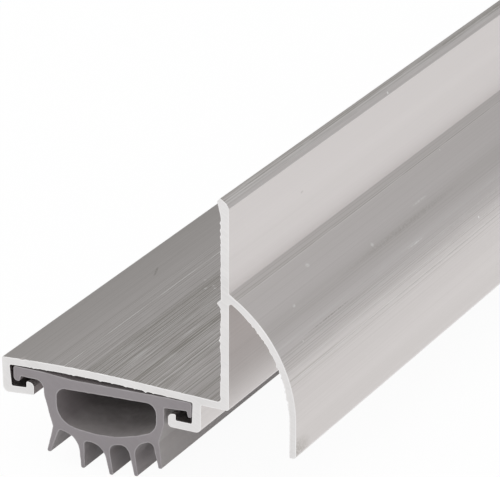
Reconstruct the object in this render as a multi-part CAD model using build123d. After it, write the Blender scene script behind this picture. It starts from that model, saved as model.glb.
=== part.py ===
from build123d import *
import math
import os

# Door shoe: an L-shaped aluminium extrusion that wraps the bottom edge of an outside door,
# with a hollow vinyl insert that slides into its channel and sweeps the threshold.
#
# The length runs along X. The door stands on the +Y side of the flange, the weather and the
# drip cap are on the -Y side, and Z is up. The section is drawn from the inside corner of the
# L, where the plate meets the flange, and the finished solids are then set down so that the
# origin lies on the flange's back face, half way up its lower flat, at mid length.

# Cut length of both pieces
shoe_length = 914.4

# Flange that screws to the door's outer face
flange_wall = 1.6
flange_height = 38.6
flange_foot_radius = 0.55
inside_corner_radius = 0.8

# Lip along the flange's top edge, turned in towards the door
lip_reach = 0.72
lip_length = 3.6
lip_tip_drop = 0.6
lip_top_reach = 0.12
lip_tip_radius = 0.25
lip_bend_radius = 3.0

# Bevel on the lip's weather side: in from the flange's outer face, down from its top, radius
lip_bevel_corners = [(0.45, 0.85, 1.0), (0.0, 1.75, 0.2)]

# Small rib on the flange's back face, which bears on the door with the lip
rib_reach = 0.64
rib_height = 18.84
rib_rise = 0.8
rib_run_out = 1.05
rib_radius = 0.25

# Drip cap that sheds water clear of the threshold
drip_root_height = 21.0
drip_slope = 34.0
drip_reach = 14.81
drip_tip_height = -7.92
drip_wall = 1.3
drip_bend_radius = 25.5
drip_tip_radius = 0.7
drip_edge_radius = 0.15
drip_root_radius = 0.3
drip_crotch_radius = 0.4

# Plate that lies under the door, slightly crowned
plate_depth = 44.6
plate_wall = 1.4
plate_crown_rise = 0.8
plate_crown_from_flange = 28.8
plate_crown_radius = 264.0
plate_far_edge_drop = 0.12
plate_far_edge_radius = 0.35

# Two hooked legs that hold the insert. Each one leans and tapers a little, as it left the die,
# so each has its own depths, all measured down from the plate's inside corner.
near_leg_setback = 3.97
leg_toe_radius = 1.15
hook_reach = 6.62
hook_wall = 1.57
hook_mouth_radius = 1.0
hook_tip_radius = 0.3
hook_root_radius = 0.2
channel_corner_radius = 0.3

near_leg_wall = 1.68
near_leg_wall_below = 1.85
near_toe_lean = 0.0
near_toe = 6.9
near_heel = 6.9
near_hook_floor = 5.38
near_hook_root = 5.38
near_hook_top = 4.22
near_heel_radius = 0.75

far_leg_wall = 1.63
far_leg_wall_below = 2.02
far_toe_lean = 0.2
far_toe = 7.0
far_heel = 6.45
far_hook_floor = 5.5
far_hook_root = 5.26
far_hook_top = 4.05
far_heel_radius = 0.25

# Vinyl insert: its clearances in the channel, at the sides from the thicker end of each leg
insert_near_gap = 0.06
insert_far_gap = 0.4
insert_top_gap = 0.12

# Vinyl insert: the head with its two feet
head_wall = 1.76
head_dip = 0.5
head_dip_from_far_wall = 5.6
head_dip_radius = 8.0
head_corner_radius = 0.5
near_foot_wall = 0.95
far_foot_wall = 1.5
foot_taper = 0.25
foot_radius = 0.25
near_foot_drop = 1.15
far_foot_drop = 1.05
far_foot_outer_radius = 0.75
far_foot_inner_radius = 0.35
near_arm_swell = 0.35
near_arm_root_radius = 0.2
far_arm_root_radius = 1.8

# Vinyl insert: the hollow bulb, which hangs through the mouth between the two hooks
bulb_near_mouth_gap = 0.8
bulb_far_mouth_gap = 2.05
bulb_near_wall = 1.6
bulb_far_wall = 2.6
bulb_roof_wall = 1.8
bulb_floor_wall = 1.8
bulb_depth = 12.0
bulb_low_past_middle = 1.55
bulb_floor_radius = 27.0
bulb_near_waist_depth = 5.5
bulb_far_waist_depth = 4.3
bulb_wall_radius = 4.0
hollow_near_top_radius = 1.9
hollow_far_top_radius = 1.9
hollow_near_bottom_radius = 3.0
hollow_far_bottom_radius = 4.2
hollow_near_floor_rise = 0.3
hollow_floor_rises = [0.2, 0.0, 0.0, 0.0]
hollow_far_roof_drop = 0.9
hollow_middle_roof_drop = 0.4
hollow_floor_stations = 4
hollow_roof_radius = 6.0
hollow_floor_radius = 12.0

# Vinyl insert: the sweeping fins, listed from the weather side to the room side
fin_count = 5
first_fin_from_near_wall = 1.65
last_fin_from_far_wall = 2.37
fin_root_wall = 1.2
fin_tip_wall = 0.75
fin_length = 5.63
outer_fin_length = 4.92
fin_shifts = [0.0, 0.0, 0.0, -0.12, 0.0]
fin_leans = [-0.85, -1.05, -1.1, -0.25, 1.5]
fin_tip_radius = 0.28
fin_weather_root_radii = [0.8, 2.8, 1.5, 0.7, 0.6]
fin_room_root_radii = [1.2, 1.7, 3.2, 3.4, 0.8]

# The arch between each fin and the next: its top's share of the pitch, its rise, its radius
valley_places = [0.34, 0.5, 0.7, 0.74]
valley_rises = [0.42, 0.32, -0.05, 0.2]
valley_radius = 1.0

# Height of the origin above the plate's inside corner
origin_height = 9.3

# The most of a straight side that the arcs at its two ends may take up
arc_share_of_side = 0.98


def drip_tangent():
    return math.tan(math.radians(drip_slope))


def plate_top(y):
    """Height of the plate's top face, before its crown is rounded off."""
    if y < plate_crown_from_flange:
        return plate_crown_rise * y / plate_crown_from_flange
    fall = plate_crown_rise + plate_far_edge_drop
    run = plate_depth - plate_crown_from_flange
    return plate_crown_rise - fall * (y - plate_crown_from_flange) / run


def rounded_face(corners):
    """Closed face through corners of (y, z, radius), each arc tangent to both its sides.

    Where two arcs would meet on a side that is too short for both, both shrink to fit it.
    """
    points = [Vector(y, z) for y, z, radius in corners]
    count = len(points)
    halves = []
    reaches = []
    for i, (y, z, radius) in enumerate(corners):
        turn = (points[i - 1] - points[i]).get_angle(points[(i + 1) % count] - points[i])
        halves.append(math.radians(turn) / 2)
        reaches.append(radius / math.tan(halves[i]))
    room = []
    for i in range(count):
        side = (points[(i + 1) % count] - points[i]).length
        wanted = reaches[i] + reaches[(i + 1) % count]
        room.append(min(1, arc_share_of_side * side / wanted) if wanted > 0 else 1)
    arcs = []
    for i in range(count):
        reach = reaches[i] * min(room[i - 1], room[i])
        radius = reach * math.tan(halves[i])
        back = (points[i - 1] - points[i]).normalized()
        ahead = (points[(i + 1) % count] - points[i]).normalized()
        bulge = (back + ahead).normalized() * (radius / math.sin(halves[i]) - radius)
        arcs.append((points[i] + back * reach, points[i] + bulge, points[i] + ahead * reach))
    edges = []
    for i, (start, middle, end) in enumerate(arcs):
        edges.append(Edge.make_three_point_arc(start, middle, end))
        edges.append(Edge.make_line(end, arcs[(i + 1) % count][0]))
    return Face(Wire(edges))


def flange_back():
    """Up the flange's back face, over the rib, and out along the lip."""
    bend_height = flange_height - lip_length
    tip_height = flange_height - lip_tip_drop
    return [
        (0, 0, inside_corner_radius),
        (0, rib_height - rib_run_out, rib_radius),
        (rib_reach, rib_height, rib_radius),
        (0, rib_height + rib_rise, rib_radius),
        (0, bend_height, lip_bend_radius),
        (lip_reach, tip_height, lip_tip_radius),
        (lip_top_reach, flange_height, lip_tip_radius),
    ] + [(inward - flange_wall, flange_height - drop, radius) for inward, drop, radius in lip_bevel_corners]


def drip_cap():
    """Out along the drip cap's upper face, round its tip, and back up its inner face."""
    outer_shoulder = drip_root_height - (drip_reach - flange_wall) * drip_tangent()
    inner_reach = drip_reach - drip_wall
    inner_root = drip_root_height - drip_wall / math.cos(math.radians(drip_slope))
    inner_shoulder = inner_root - (inner_reach - flange_wall) * drip_tangent()
    return [
        (-flange_wall, drip_root_height, drip_root_radius),
        (-drip_reach, outer_shoulder, drip_bend_radius),
        (-drip_reach, drip_tip_height, drip_tip_radius),
        (-inner_reach, drip_tip_height, drip_edge_radius),
        (-inner_reach, inner_shoulder, drip_bend_radius - drip_wall),
        (-flange_wall, inner_root, drip_crotch_radius),
    ]


def near_leg():
    """The weather-side leg: down its outer face, round the hook, and up inside the channel."""
    mouth = near_leg_setback + hook_reach
    return [
        (near_leg_setback + near_toe_lean, -near_toe, leg_toe_radius),
        (mouth, -near_heel, near_heel_radius),
        (mouth, -near_hook_top, hook_mouth_radius),
        (mouth - hook_wall, -near_hook_top, hook_tip_radius),
        (mouth - hook_wall, -near_hook_root, hook_root_radius),
        (near_leg_setback + near_leg_wall_below, -near_hook_floor, channel_corner_radius),
    ]


def far_leg():
    """The room-side leg: down inside the channel, round the hook, and up its outer face."""
    mouth = plate_depth - hook_reach
    return [
        (plate_depth - far_leg_wall_below, -far_hook_floor, channel_corner_radius),
        (mouth + hook_wall, -far_hook_root, hook_root_radius),
        (mouth + hook_wall, -far_hook_top, hook_tip_radius),
        (mouth, -far_hook_top, hook_mouth_radius),
        (mouth, -far_heel, far_heel_radius),
        (plate_depth - far_toe_lean, -far_toe, leg_toe_radius),
    ]


def shoe_face():
    """Section of the aluminium extrusion, once round from the inside corner of the L."""
    near_inner = near_leg_setback + near_leg_wall
    far_inner = plate_depth - far_leg_wall
    corners = flange_back() + drip_cap()
    corners += [
        (-flange_wall, -plate_wall, flange_foot_radius),
        (near_leg_setback, -plate_wall, hook_root_radius),
    ]
    corners += near_leg()
    corners += [
        (near_inner, plate_top(near_inner) - plate_wall, channel_corner_radius),
        (plate_crown_from_flange, plate_crown_rise - plate_wall, plate_crown_radius),
        (far_inner, plate_top(far_inner) - plate_wall, channel_corner_radius),
    ]
    corners += far_leg()
    corners += [
        (plate_depth, -plate_far_edge_drop, plate_far_edge_radius),
        (plate_crown_from_flange, plate_crown_rise, plate_crown_radius),
    ]
    return rounded_face(corners)


# Where the insert lies in the channel: its side faces, its top at each, its bulb and fins
insert_near = near_leg_setback + max(near_leg_wall, near_leg_wall_below) + insert_near_gap
insert_far = plate_depth - max(far_leg_wall, far_leg_wall_below) - insert_far_gap
insert_near_top = plate_top(insert_near) - plate_wall - insert_top_gap
insert_far_top = plate_top(insert_far) - plate_wall - insert_top_gap
bulb_near = near_leg_setback + hook_reach + bulb_near_mouth_gap
bulb_far = plate_depth - hook_reach - bulb_far_mouth_gap
bulb_low = (bulb_near + bulb_far) / 2 + bulb_low_past_middle
first_fin = bulb_near + first_fin_from_near_wall
last_fin = bulb_far - last_fin_from_far_wall
fin_pitch = (last_fin - first_fin) / (fin_count - 1)


def floor_height(y):
    """Outer face of the bulb's floor, which sags like a shallow bowl."""
    return insert_near_top - bulb_depth + (y - bulb_low) ** 2 / (2 * bulb_floor_radius)


def fin_corners(number):
    """One fin from its weather side to its room side: root, tip, tip, root."""
    root = first_fin + number * fin_pitch + fin_shifts[number]
    tip = root + fin_leans[number]
    outer = number in (0, fin_count - 1)
    tip_height = floor_height(root) - (outer_fin_length if outer else fin_length)
    near_root = root - fin_root_wall / 2
    far_root = root + fin_root_wall / 2
    return [
        (near_root, floor_height(near_root), fin_weather_root_radii[number]),
        (tip - fin_tip_wall / 2, tip_height, fin_tip_radius),
        (tip + fin_tip_wall / 2, tip_height, fin_tip_radius),
        (far_root, floor_height(far_root), fin_room_root_radii[number]),
    ]


def valley_corner(number):
    """The top of the arch between one fin and the next."""
    top = first_fin + (number + valley_places[number]) * fin_pitch
    return (top, floor_height(top) + valley_rises[number], valley_radius)


def insert_face():
    """Section of the vinyl insert: head, feet, bulb and fins, less the bulb's hollow."""
    near_under = insert_near_top - head_wall
    far_under = insert_far_top - head_wall
    near_foot = near_under - near_foot_drop
    far_foot = far_under - far_foot_drop
    corners = [
        (insert_near, near_foot, foot_radius),
        (insert_near + near_foot_wall - foot_taper, near_foot, foot_radius),
        (insert_near + near_foot_wall, near_under, foot_radius),
        (bulb_near, near_under - near_arm_swell, near_arm_root_radius),
        (bulb_near, insert_near_top - bulb_near_waist_depth, bulb_wall_radius),
    ]
    for number in range(fin_count):
        corners += fin_corners(number)
        if number < fin_count - 1:
            corners.append(valley_corner(number))
    corners += [
        (bulb_far, insert_near_top - bulb_far_waist_depth, bulb_wall_radius),
        (bulb_far, far_under, far_arm_root_radius),
        (insert_far - far_foot_wall, far_under, foot_radius),
        (insert_far - far_foot_wall + foot_taper, far_foot, far_foot_inner_radius),
        (insert_far, far_foot, far_foot_outer_radius),
        (insert_far, insert_far_top, head_corner_radius),
        (bulb_far, insert_far_top, head_dip_radius),
        (bulb_far - head_dip_from_far_wall, insert_near_top - head_dip, head_dip_radius),
        (bulb_near, insert_near_top, head_dip_radius),
        (insert_near, insert_near_top, head_corner_radius),
    ]
    return rounded_face(corners) - rounded_face(hollow_corners())


def hollow_corners():
    """The open tube inside the bulb, which lets it flatten over the threshold."""
    near_wall = bulb_near + bulb_near_wall
    far_wall = bulb_far - bulb_far_wall
    roof = insert_near_top - bulb_roof_wall
    middle = (near_wall + far_wall) / 2
    steps = hollow_floor_stations + 1
    stations = [near_wall + (far_wall - near_wall) * k / steps for k in range(1, steps)]
    near_floor = floor_height(near_wall) + bulb_floor_wall + hollow_near_floor_rise
    corners = [
        (near_wall, roof, hollow_near_top_radius),
        (near_wall, near_floor, hollow_near_bottom_radius),
    ]
    for y, rise in zip(stations, hollow_floor_rises):
        corners.append((y, floor_height(y) + bulb_floor_wall + rise, hollow_floor_radius))
    corners += [
        (far_wall, floor_height(far_wall) + bulb_floor_wall, hollow_far_bottom_radius),
        (far_wall, roof - hollow_far_roof_drop, hollow_far_top_radius),
        (middle, roof - hollow_middle_roof_drop, hollow_roof_radius),
    ]
    return corners


def full_length(face):
    """Run a section the whole length of the shoe and set it down round the origin."""
    section = Plane.YZ * Pos(0, -origin_height) * face
    return Pos(-shoe_length / 2, 0, 0) * extrude(section, amount=shoe_length)


parts = {
    "door_shoe": full_length(shoe_face()),
    "seal_insert": full_length(insert_face()),
}

os.makedirs("parts", exist_ok=True)
for node, solid in parts.items():
    export_step(solid, "parts/" + node + ".step")
    size = solid.bounding_box().size
    print(node, "volume", round(solid.volume), "size", round(size.X, 1), round(size.Y, 2), round(size.Z, 2))
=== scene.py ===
# %% [markdown]
# # An L-shaped door seal: an aluminium door shoe with a vinyl insert
#
# Two long extrusions make this object. An aluminium shoe wraps the bottom edge of a door, and a
# soft vinyl insert slides along its channel and sweeps the threshold with five fins. The packed
# model gives their true size and place, so it is loaded first and nothing here moves it. Each
# extrusion is then made again as a finer mesh with what a saw and a die leave on it: burrs,
# rounded edges, score lines, and a finish that runs along the length.

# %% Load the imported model
import math

import bpy
import numpy as np
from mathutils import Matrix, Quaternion, Vector, noise
from mathutils.geometry import delaunay_2d_cdt


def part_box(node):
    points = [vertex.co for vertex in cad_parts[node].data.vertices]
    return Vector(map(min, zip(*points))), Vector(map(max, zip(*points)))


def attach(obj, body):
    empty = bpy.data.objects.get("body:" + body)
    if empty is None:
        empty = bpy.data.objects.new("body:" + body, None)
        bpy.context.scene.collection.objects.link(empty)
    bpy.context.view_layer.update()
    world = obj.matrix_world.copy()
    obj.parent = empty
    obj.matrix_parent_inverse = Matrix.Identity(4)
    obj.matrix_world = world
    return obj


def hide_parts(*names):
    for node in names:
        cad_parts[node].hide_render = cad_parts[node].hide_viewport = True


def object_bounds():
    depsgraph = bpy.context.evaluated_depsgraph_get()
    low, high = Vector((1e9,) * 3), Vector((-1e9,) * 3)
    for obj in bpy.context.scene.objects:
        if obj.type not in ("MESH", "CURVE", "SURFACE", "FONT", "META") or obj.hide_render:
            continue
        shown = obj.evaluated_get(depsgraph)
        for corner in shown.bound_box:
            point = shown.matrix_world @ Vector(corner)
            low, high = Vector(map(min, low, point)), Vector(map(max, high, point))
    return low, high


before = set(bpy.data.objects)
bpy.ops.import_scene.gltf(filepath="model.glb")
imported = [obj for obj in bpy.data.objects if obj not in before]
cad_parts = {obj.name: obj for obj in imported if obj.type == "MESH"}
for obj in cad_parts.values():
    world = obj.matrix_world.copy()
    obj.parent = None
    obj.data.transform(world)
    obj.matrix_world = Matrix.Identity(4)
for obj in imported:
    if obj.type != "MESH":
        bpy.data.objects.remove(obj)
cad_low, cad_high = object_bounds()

# %% [markdown]
# ## The camera
#
# The picture is taken from the weather side, low over the sawn end, with a long lens. The place
# and the angles below are the ones at which the long edges of the extrusion run to the same
# vanishing point as in the picture. A camera could be aimed with a constraint, but a plain place
# and three angles are easier to read and can't drift.

# %% Place the camera
MM = 0.001
camera_place = Vector((-1040.90, -303.34, 289.99)) * MM
camera_azimuth = math.radians(-62.981)
camera_elevation = math.radians(22.176)
camera_roll = math.radians(0.1195)
camera_lens = 295.56
camera_sensor = 36.0

camera = bpy.data.objects.new("camera", bpy.data.cameras.new("camera"))
bpy.context.scene.collection.objects.link(camera)
bpy.context.scene.camera = camera
camera.data.lens = camera_lens
camera.data.sensor_width = camera_sensor
camera.data.clip_start = 0.05
camera.location = camera_place
back = Vector((
    math.sin(camera_azimuth) * math.cos(camera_elevation),
    -math.cos(camera_azimuth) * math.cos(camera_elevation),
    math.sin(camera_elevation),
))
camera.rotation_mode = "QUATERNION"
camera.rotation_quaternion = (-back).to_track_quat("-Z", "Y") @ Quaternion((0, 0, 1), camera_roll)
print("camera", round((camera_place.xy).length, 3), "m from mid length, lens", camera_lens)

# %% [markdown]
# ## One section, drawn with rounded corners
#
# An extrusion is a section pushed along a line, so nearly all its shape is in one drawing. Each
# outline here is a list of corners, in millimetres, and each corner has the radius that the die
# gave it. The helper below turns such a list into points: arcs where the corners are and short
# steps on the flats between them. It also gives the way that the surface faces at each point,
# from the geometry and not from the faces, so that a broad flat beside a tight corner shades
# evenly. A bevel modifier could round the edges too, but not each one by its own radius.

# %% Turn corners into a smooth outline
arc_step = math.radians(7.5)
arc_chord = 0.8
flat_step = 1.4
arc_share_of_side = 0.98


def rounded_outline(corners):
    """Places, outward directions and bend (1/mm, positive where the metal bulges) once round."""
    spots = np.array([corner[:2] for corner in corners], float)
    ahead = np.roll(spots, -1, axis=0) - spots
    sides = np.linalg.norm(ahead, axis=1)
    heading = np.arctan2(ahead[:, 1], ahead[:, 0])
    turn = heading - np.roll(heading, 1)
    turn = (turn + math.pi) % (2 * math.pi) - math.pi
    tangent = np.tan(np.abs(turn) / 2)
    reach = np.array([corner[2] for corner in corners]) * tangent
    room = np.minimum(1, arc_share_of_side * sides / (reach + np.roll(reach, -1)))
    reach = reach * np.minimum(room, np.roll(room, 1))
    radius = reach / tangent
    around_area = np.sum(spots[:, 0] * ahead[:, 1] - spots[:, 1] * ahead[:, 0])
    way = 1 if around_area > 0 else -1

    places, outward, bend = [], [], []

    def add(place, angle, curve):
        places.append(place)
        outward.append((way * math.sin(angle), -way * math.cos(angle)))
        bend.append(curve)

    for i in range(len(corners)):
        first = heading[i - 1]
        travel = np.array((math.cos(first), math.sin(first)))
        start = spots[i] - travel * reach[i]
        side = math.copysign(1, turn[i])
        centre = start + side * radius[i] * np.array((-travel[1], travel[0]))
        steps = max(2, math.ceil(abs(turn[i]) / arc_step), math.ceil(abs(turn[i]) * radius[i] / arc_chord))
        for k in range(steps + 1):
            angle = first + turn[i] * k / steps
            spot = centre + side * radius[i] * np.array((math.sin(angle), -math.cos(angle)))
            add(spot, angle, side * way / radius[i])
        following = (i + 1) % len(corners)
        flat = sides[i] - reach[i] - reach[following]
        steps = math.ceil(flat / flat_step)
        along = np.array((math.cos(heading[i]), math.sin(heading[i])))
        for k in range(1, steps):
            add(spots[i] + along * (reach[i] + flat * k / steps), heading[i], 0.0)
    return np.array(places), np.array(outward), np.array(bend)


square_outline = rounded_outline([(0, 0, 1), (10, 0, 1), (10, 10, 1), (0, 10, 1)])
square, _, square_bend = square_outline
print("a 10 mm square with 1 mm corners takes", len(square), "points, bend", square_bend.max())

# %% [markdown]
# ## The shoe's section
#
# The shoe is one extrusion: a flange that screws to the door's outer face, a drip cap that
# throws rain clear, a plate that lies under the door, and two hooked legs that hold the insert.
# These are the sizes of the real section, measured from the inside corner where the plate meets
# the flange. The y axis points into the door and z points up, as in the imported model.

# %% Sizes of the shoe's section, in millimetres
origin_height = 9.3

flange_wall = 1.6
flange_height = 38.6
flange_foot_radius = 0.55
inside_corner_radius = 0.8
lip_reach, lip_length, lip_tip_drop, lip_top_reach = 0.72, 3.6, 0.6, 0.12
lip_tip_radius, lip_bend_radius = 0.25, 3.0
lip_bevel_corners = [(0.45, 0.85, 1.0), (0.0, 1.75, 0.2)]
rib_reach, rib_height, rib_rise, rib_run_out, rib_radius = 0.64, 18.84, 0.8, 1.05, 0.25

drip_root_height, drip_slope, drip_reach, drip_tip_height = 21.0, math.radians(34.0), 14.81, -7.92
drip_wall, drip_bend_radius, drip_tip_radius, drip_edge_radius = 1.3, 25.5, 0.7, 0.15
drip_root_radius, drip_crotch_radius = 0.3, 0.4

plate_depth, plate_wall = 44.6, 1.4
plate_crown_rise, plate_crown_from_flange, plate_crown_radius = 0.8, 28.8, 264.0
plate_far_edge_drop, plate_far_edge_radius = 0.12, 0.35

near_leg_setback, leg_toe_radius, hook_reach, hook_wall = 3.97, 1.15, 6.62, 1.57
near_leg_wall, near_leg_wall_below, near_toe_lean = 1.68, 1.85, 0.0
near_toe, near_heel, near_hook_floor, near_hook_root, near_hook_top = 6.9, 6.9, 5.38, 5.38, 4.22
far_leg_wall, far_leg_wall_below, far_toe_lean = 1.63, 2.02, 0.2
far_toe, far_heel, far_hook_floor, far_hook_root, far_hook_top = 7.0, 6.45, 5.5, 5.26, 4.05
near_heel_radius, far_heel_radius, hook_mouth_radius = 0.75, 0.25, 1.0
hook_tip_radius, hook_root_radius, channel_corner_radius = 0.3, 0.2, 0.3


def plate_top(y):
    """Height of the plate's top face, before its crown is rounded off."""
    if y < plate_crown_from_flange:
        return plate_crown_rise * y / plate_crown_from_flange
    fall = plate_crown_rise + plate_far_edge_drop
    return plate_crown_rise - fall * (y - plate_crown_from_flange) / (plate_depth - plate_crown_from_flange)


def flange_corners():
    """Up the flange's back face, over the rib, and out along the lip."""
    return [
        (0, 0, inside_corner_radius),
        (0, rib_height - rib_run_out, rib_radius),
        (rib_reach, rib_height, rib_radius),
        (0, rib_height + rib_rise, rib_radius),
        (0, flange_height - lip_length, lip_bend_radius),
        (lip_reach, flange_height - lip_tip_drop, lip_tip_radius),
        (lip_top_reach, flange_height, lip_tip_radius),
    ] + [(inward - flange_wall, flange_height - drop, radius) for inward, drop, radius in lip_bevel_corners]


def drip_corners():
    """Out along the drip cap's upper face, round its tip, and back up its inner face."""
    fall = math.tan(drip_slope)
    inner_reach = drip_reach - drip_wall
    inner_root = drip_root_height - drip_wall / math.cos(drip_slope)
    return [
        (-flange_wall, drip_root_height, drip_root_radius),
        (-drip_reach, drip_root_height - (drip_reach - flange_wall) * fall, drip_bend_radius),
        (-drip_reach, drip_tip_height, drip_tip_radius),
        (-inner_reach, drip_tip_height, drip_edge_radius),
        (-inner_reach, inner_root - (inner_reach - flange_wall) * fall, drip_bend_radius - drip_wall),
        (-flange_wall, inner_root, drip_crotch_radius),
    ]


def near_leg():
    """The weather-side leg: down its outer face, round the hook, and up inside the channel."""
    mouth = near_leg_setback + hook_reach
    return [
        (near_leg_setback + near_toe_lean, -near_toe, leg_toe_radius),
        (mouth, -near_heel, near_heel_radius),
        (mouth, -near_hook_top, hook_mouth_radius),
        (mouth - hook_wall, -near_hook_top, hook_tip_radius),
        (mouth - hook_wall, -near_hook_root, hook_root_radius),
        (near_leg_setback + near_leg_wall_below, -near_hook_floor, channel_corner_radius),
    ]


def far_leg():
    """The room-side leg: down inside the channel, round the hook, and up its outer face."""
    mouth = plate_depth - hook_reach
    return [
        (plate_depth - far_leg_wall_below, -far_hook_floor, channel_corner_radius),
        (mouth + hook_wall, -far_hook_root, hook_root_radius),
        (mouth + hook_wall, -far_hook_top, hook_tip_radius),
        (mouth, -far_hook_top, hook_mouth_radius),
        (mouth, -far_heel, far_heel_radius),
        (plate_depth - far_toe_lean, -far_toe, leg_toe_radius),
    ]


near_inner = near_leg_setback + near_leg_wall
far_inner = plate_depth - far_leg_wall
shoe_corners = flange_corners() + drip_corners()
shoe_corners += [
    (-flange_wall, -plate_wall, flange_foot_radius),
    (near_leg_setback, -plate_wall, hook_root_radius),
]
shoe_corners += near_leg()
shoe_corners += [
    (near_inner, plate_top(near_inner) - plate_wall, channel_corner_radius),
    (plate_crown_from_flange, plate_crown_rise - plate_wall, plate_crown_radius),
    (far_inner, plate_top(far_inner) - plate_wall, channel_corner_radius),
]
shoe_corners += far_leg()
shoe_corners += [
    (plate_depth, -plate_far_edge_drop, plate_far_edge_radius),
    (plate_crown_from_flange, plate_crown_rise, plate_crown_radius),
]
print("the shoe's outline has", len(shoe_corners), "corners")

# %% [markdown]
# ## The insert's section
#
# The insert is softer and rounder. Its head lies in the shoe's channel on two feet, a hollow
# bulb hangs through the mouth between the hooks, and five fins lean on the threshold. The fins
# come from one function and a loop, each with its own lean, because soft vinyl never leaves the
# die quite straight.

# %% Sizes of the insert's section, in millimetres
insert_near_gap, insert_far_gap, insert_top_gap = 0.06, 0.4, 0.12
head_wall, head_dip, head_dip_from_far_wall = 1.76, 0.5, 5.6
head_dip_radius, head_corner_radius = 8.0, 0.5
near_foot_wall, far_foot_wall, foot_taper, foot_radius = 0.95, 1.5, 0.25, 0.25
near_foot_drop, far_foot_drop, far_foot_outer_radius, far_foot_inner_radius = 1.15, 1.05, 0.75, 0.35
near_arm_swell, near_arm_root_radius, far_arm_root_radius = 0.35, 0.2, 1.8

bulb_near_mouth_gap, bulb_far_mouth_gap = 0.8, 2.05
bulb_near_wall, bulb_far_wall, bulb_roof_wall, bulb_floor_wall = 1.6, 2.6, 1.8, 1.8
bulb_depth, bulb_low_past_middle, bulb_floor_radius = 12.0, 1.55, 27.0
bulb_near_waist_depth, bulb_far_waist_depth, bulb_wall_radius = 5.5, 4.3, 4.0
hollow_near_top_radius, hollow_far_top_radius = 1.9, 1.9
hollow_near_bottom_radius, hollow_far_bottom_radius = 3.0, 4.2
hollow_near_floor_rise, hollow_floor_rises = 0.3, [0.2, 0.0, 0.0, 0.0]
hollow_far_roof_drop, hollow_middle_roof_drop = 0.9, 0.4
hollow_floor_stations, hollow_roof_radius, hollow_floor_radius = 4, 6.0, 12.0

fin_count = 5
first_fin_from_near_wall, last_fin_from_far_wall = 1.65, 2.37
fin_root_wall, fin_tip_wall, fin_length, outer_fin_length, fin_tip_radius = 1.2, 0.75, 5.63, 4.92, 0.28
fin_shifts = [0.0, 0.0, 0.0, -0.12, 0.0]
fin_leans = [-0.85, -1.05, -1.1, -0.25, 1.5]
fin_weather_root_radii = [0.8, 2.8, 1.5, 0.7, 0.6]
fin_room_root_radii = [1.2, 1.7, 3.2, 3.4, 0.8]
valley_places, valley_rises, valley_radius = [0.34, 0.5, 0.7, 0.74], [0.42, 0.32, -0.05, 0.2], 1.0

insert_near = near_leg_setback + max(near_leg_wall, near_leg_wall_below) + insert_near_gap
insert_far = plate_depth - max(far_leg_wall, far_leg_wall_below) - insert_far_gap
insert_near_top = plate_top(insert_near) - plate_wall - insert_top_gap
insert_far_top = plate_top(insert_far) - plate_wall - insert_top_gap
bulb_near = near_leg_setback + hook_reach + bulb_near_mouth_gap
bulb_far = plate_depth - hook_reach - bulb_far_mouth_gap
bulb_low = (bulb_near + bulb_far) / 2 + bulb_low_past_middle
first_fin = bulb_near + first_fin_from_near_wall
fin_pitch = (bulb_far - last_fin_from_far_wall - first_fin) / (fin_count - 1)


def floor_height(y):
    """Outer face of the bulb's floor, which sags like a shallow bowl."""
    return insert_near_top - bulb_depth + (y - bulb_low) ** 2 / (2 * bulb_floor_radius)


def fin_corners(number):
    """One fin: root, tip, tip, root."""
    root = first_fin + number * fin_pitch + fin_shifts[number]
    tip = root + fin_leans[number]
    length = outer_fin_length if number in (0, fin_count - 1) else fin_length
    tip_height = floor_height(root) - length
    near_root, far_root = root - fin_root_wall / 2, root + fin_root_wall / 2
    return [
        (near_root, floor_height(near_root), fin_weather_root_radii[number]),
        (tip - fin_tip_wall / 2, tip_height, fin_tip_radius),
        (tip + fin_tip_wall / 2, tip_height, fin_tip_radius),
        (far_root, floor_height(far_root), fin_room_root_radii[number]),
    ]


def valley_corner(number):
    """The top of the arch between one fin and the next."""
    top = first_fin + (number + valley_places[number]) * fin_pitch
    return (top, floor_height(top) + valley_rises[number], valley_radius)


def insert_corners():
    """Head, feet, bulb and fins, once round the outside."""
    near_under, far_under = insert_near_top - head_wall, insert_far_top - head_wall
    near_foot, far_foot = near_under - near_foot_drop, far_under - far_foot_drop
    corners = [
        (insert_near, near_foot, foot_radius),
        (insert_near + near_foot_wall - foot_taper, near_foot, foot_radius),
        (insert_near + near_foot_wall, near_under, foot_radius),
        (bulb_near, near_under - near_arm_swell, near_arm_root_radius),
        (bulb_near, insert_near_top - bulb_near_waist_depth, bulb_wall_radius),
    ]
    for number in range(fin_count):
        corners += fin_corners(number)
        if number < fin_count - 1:
            corners.append(valley_corner(number))
    return corners + [
        (bulb_far, insert_near_top - bulb_far_waist_depth, bulb_wall_radius),
        (bulb_far, far_under, far_arm_root_radius),
        (insert_far - far_foot_wall, far_under, foot_radius),
        (insert_far - far_foot_wall + foot_taper, far_foot, far_foot_inner_radius),
        (insert_far, far_foot, far_foot_outer_radius),
        (insert_far, insert_far_top, head_corner_radius),
        (bulb_far, insert_far_top, head_dip_radius),
        (bulb_far - head_dip_from_far_wall, insert_near_top - head_dip, head_dip_radius),
        (bulb_near, insert_near_top, head_dip_radius),
        (insert_near, insert_near_top, head_corner_radius),
    ]


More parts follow.
